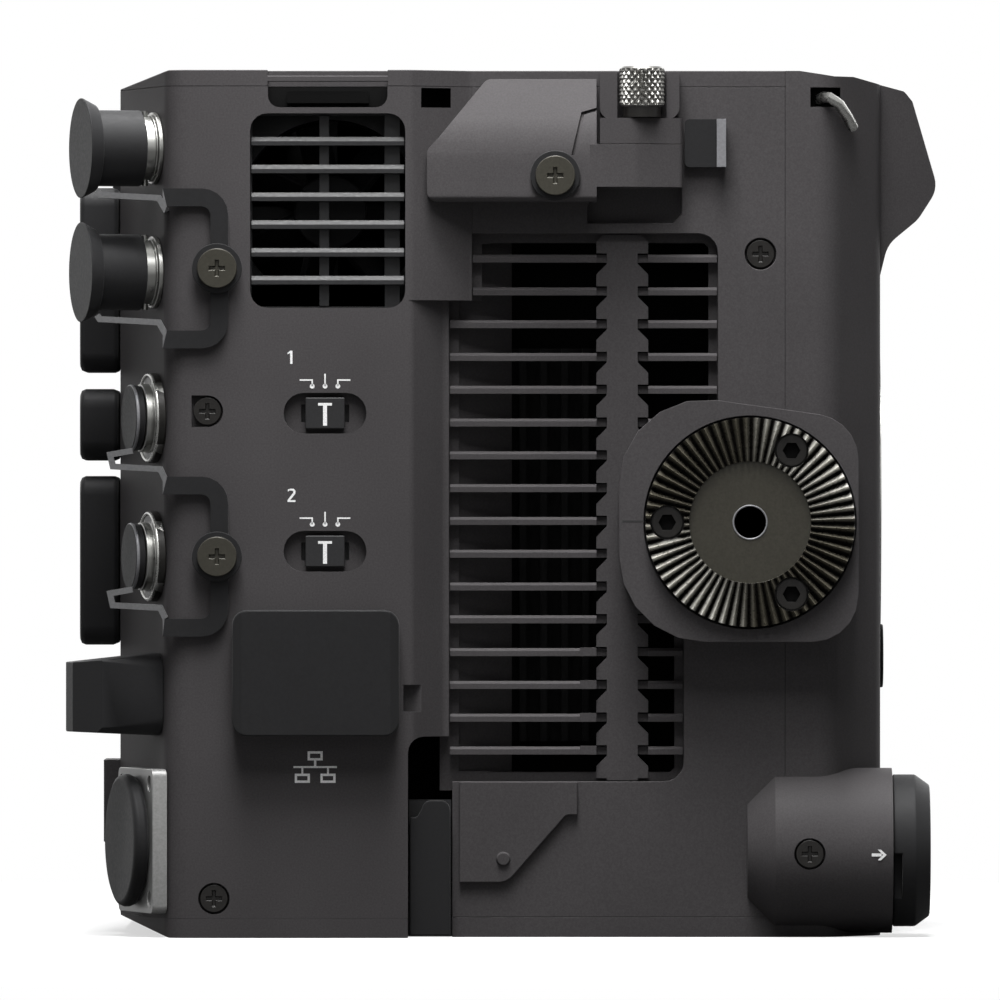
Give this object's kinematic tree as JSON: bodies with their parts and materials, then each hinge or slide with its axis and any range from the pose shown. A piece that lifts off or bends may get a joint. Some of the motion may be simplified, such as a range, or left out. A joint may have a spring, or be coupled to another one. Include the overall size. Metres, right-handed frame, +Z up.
{
  "type": "digital cinema camera",
  "caption": "Box-style digital cinema camera body with lens mount, side rosette, air vents, capped terminals, battery bay and card door, as separate moving parts.",
  "frame": {"origin": "mouth of the tripod thread, on the camera's base plane", "axes": "+X towards the lens along the optical axis, +Y to the camera's left, +Z up out of the top cover"},
  "size_m": [0.1331, 0.1403, 0.1326],
  "materials": {
    "body_paint": "fine textured semi-matt coating",
    "dark_plastic": "matt moulded",
    "soft_rubber": "matt rubber",
    "bright_metal": "satin nickel plated",
    "rosette_metal": "dark bronze plated",
    "screw_metal": "blackened",
    "heat_sink": "bead blasted",
    "circuit_board": "solder resist",
    "record_red": "semi-gloss moulded"
  },
  "bodies": {
    "camera_body": {"main_chassis": "body_paint", "base_plate": "body_paint", "top_cover": "body_paint", "left_cover": "body_paint", "right_front_cover": "body_paint", "right_rear_cover": "body_paint", "front_cover": "body_paint", "rear_cover": "body_paint", "terminal_panel": "body_paint", "intake_grille": "body_paint", "intake_lower_plate": "body_paint", "rosette_housing": "body_paint", "video_block": "body_paint", "clamp_bracket": "body_paint", "lens_terminal_housing": "body_paint", "exhaust_grille": "dark_plastic", "fan_frame": "dark_plastic", "lens_contact_block": "dark_plastic", "lan_jack": "dark_plastic", "grip_jack": "dark_plastic", "battery_bay": "dark_plastic", "cap_leashes": "soft_rubber", "bnc_jacks": "bright_metal", "xlr_jacks": "bright_metal", "power_inlet": "bright_metal", "lens_mount_ring": "bright_metal", "lens_mount_screws": "bright_metal", "strap_lug": "bright_metal", "card_reader": "bright_metal", "rear_sockets": "bright_metal", "rosette_disc": "rosette_metal", "captive_screws": "rosette_metal", "rosette_screws": "screw_metal", "cover_screws": "screw_metal", "heat_sink": "heat_sink", "main_board": "circuit_board", "image_sensor": "circuit_board"},
    "input_switch_1": {"input_switch_1": "dark_plastic"},
    "input_switch_2": {"input_switch_2": "dark_plastic"},
    "lan_cover": {"lan_cover": "soft_rubber"},
    "grip_cover": {"grip_cover": "soft_rubber"},
    "lens_terminal_cap": {"lens_terminal_cap": "soft_rubber"},
    "bnc_cap_upper": {"bnc_cap_upper": "soft_rubber"},
    "bnc_cap_lower": {"bnc_cap_lower": "soft_rubber"},
    "xlr_cap_upper": {"xlr_cap_upper": "soft_rubber"},
    "xlr_cap_lower": {"xlr_cap_lower": "soft_rubber"},
    "sync_cap": {"sync_cap": "soft_rubber"},
    "power_cap": {"power_cap": "soft_rubber"},
    "thumbscrew": {"thumbscrew": "bright_metal"},
    "video_port_cover": {"video_port_cover": "soft_rubber"},
    "rear_port_cover_upper": {"rear_port_cover_upper": "soft_rubber"},
    "rear_port_cover_middle": {"rear_port_cover_middle": "soft_rubber"},
    "rear_port_cover_lower": {"rear_port_cover_lower": "soft_rubber"},
    "fan_rotor": {"fan_rotor": "soft_rubber"},
    "lens_release_button": {"lens_release_button": "soft_rubber"},
    "record_button": {"record_button": "record_red"},
    "power_switch": {"power_switch": "dark_plastic"},
    "control_dial": {"control_dial": "soft_rubber"},
    "media_door": {"media_door": "body_paint"},
    "battery_release": {"battery_release": "soft_rubber"}
  },
  "joints": [
    {"name": "input_switch_1_slide", "type": "slide", "parent": "camera_body", "child": "input_switch_1", "axis": [1, 0, 0], "range_m": [-0.0019, 0.0019]},
    {"name": "input_switch_2_slide", "type": "slide", "parent": "camera_body", "child": "input_switch_2", "axis": [1, 0, 0], "range_m": [-0.0019, 0.0019]},
    {"name": "lan_cover_turn", "type": "hinge", "parent": "camera_body", "child": "lan_cover", "pos_m": [0, -0.0604, 0.0307], "axis": [1, 0, 0], "range_deg": [0, 90]},
    {"name": "grip_cover_turn", "type": "hinge", "parent": "camera_body", "child": "grip_cover", "pos_m": [-0.0137, -0.057, 0], "axis": [0, 0, -1], "range_deg": [0, 80]},
    {"name": "lens_terminal_cap_slide", "type": "slide", "parent": "camera_body", "child": "lens_terminal_cap", "axis": [1, 0, 0], "range_m": [0, 0.012]},
    {"name": "bnc_cap_upper_slide", "type": "slide", "parent": "camera_body", "child": "bnc_cap_upper", "axis": [-0.9659, -0.2588, 0], "range_m": [0, 0.014]},
    {"name": "bnc_cap_lower_slide", "type": "slide", "parent": "camera_body", "child": "bnc_cap_lower", "axis": [-0.9659, -0.2588, 0], "range_m": [0, 0.014]},
    {"name": "xlr_cap_upper_slide", "type": "slide", "parent": "camera_body", "child": "xlr_cap_upper", "axis": [-0.9659, -0.2588, 0], "range_m": [0, 0.01]},
    {"name": "xlr_cap_lower_slide", "type": "slide", "parent": "camera_body", "child": "xlr_cap_lower", "axis": [-0.9659, -0.2588, 0], "range_m": [0, 0.01]},
    {"name": "sync_cap_slide", "type": "slide", "parent": "camera_body", "child": "sync_cap", "axis": [-0.9659, -0.2588, 0], "range_m": [0, 0.01]},
    {"name": "power_cap_slide", "type": "slide", "parent": "camera_body", "child": "power_cap", "axis": [-0.9659, -0.2588, 0], "range_m": [0, 0.014]},
    {"name": "thumbscrew_turn", "type": "hinge", "parent": "camera_body", "child": "thumbscrew", "pos_m": [0.0216, -0.0578, 0.1247], "axis": [0, 0, 1], "continuous": true},
    {"name": "video_port_cover_turn", "type": "hinge", "parent": "camera_body", "child": "video_port_cover", "pos_m": [0, -0.0541, 0.1246], "axis": [-1, 0, 0], "range_deg": [0, 90]},
    {"name": "rear_port_cover_upper_turn", "type": "hinge", "parent": "camera_body", "child": "rear_port_cover_upper", "pos_m": [-0.0587, -0.007, 0], "axis": [0, 0, 1], "range_deg": [-85, 0]},
    {"name": "rear_port_cover_middle_turn", "type": "hinge", "parent": "camera_body", "child": "rear_port_cover_middle", "pos_m": [-0.0587, -0.007, 0], "axis": [0, 0, 1], "range_deg": [-85, 0]},
    {"name": "rear_port_cover_lower_turn", "type": "hinge", "parent": "camera_body", "child": "rear_port_cover_lower", "pos_m": [-0.0587, -0.007, 0], "axis": [0, 0, 1], "range_deg": [-85, 0]},
    {"name": "fan_rotor_turn", "type": "hinge", "parent": "camera_body", "child": "fan_rotor", "pos_m": [-0.0259, -0.04, 0.1106], "axis": [0, 1, 0], "continuous": true},
    {"name": "lens_release_button_slide", "type": "slide", "parent": "camera_body", "child": "lens_release_button", "axis": [-1, 0, 0], "range_m": [0, 0.0016], "stiffness_N_per_m": 1500},
    {"name": "record_button_slide", "type": "slide", "parent": "camera_body", "child": "record_button", "axis": [0, -1, 0], "range_m": [0, 0.0005], "stiffness_N_per_m": 1500},
    {"name": "power_switch_slide", "type": "slide", "parent": "camera_body", "child": "power_switch", "axis": [1, 0, 0], "range_m": [0, 0.004]},
    {"name": "control_dial_turn", "type": "hinge", "parent": "camera_body", "child": "control_dial", "pos_m": [-0.036, 0.074, 0.066], "axis": [0, 1, 0], "continuous": true},
    {"name": "media_door_turn", "type": "hinge", "parent": "camera_body", "child": "media_door", "pos_m": [0.0295, 0.074, 0], "axis": [0, 0, -1], "range_deg": [0, 110]},
    {"name": "battery_release_slide", "type": "slide", "parent": "camera_body", "child": "battery_release", "axis": [0, 0, 1], "range_m": [0, 0.003], "stiffness_N_per_m": 300}
  ]
}
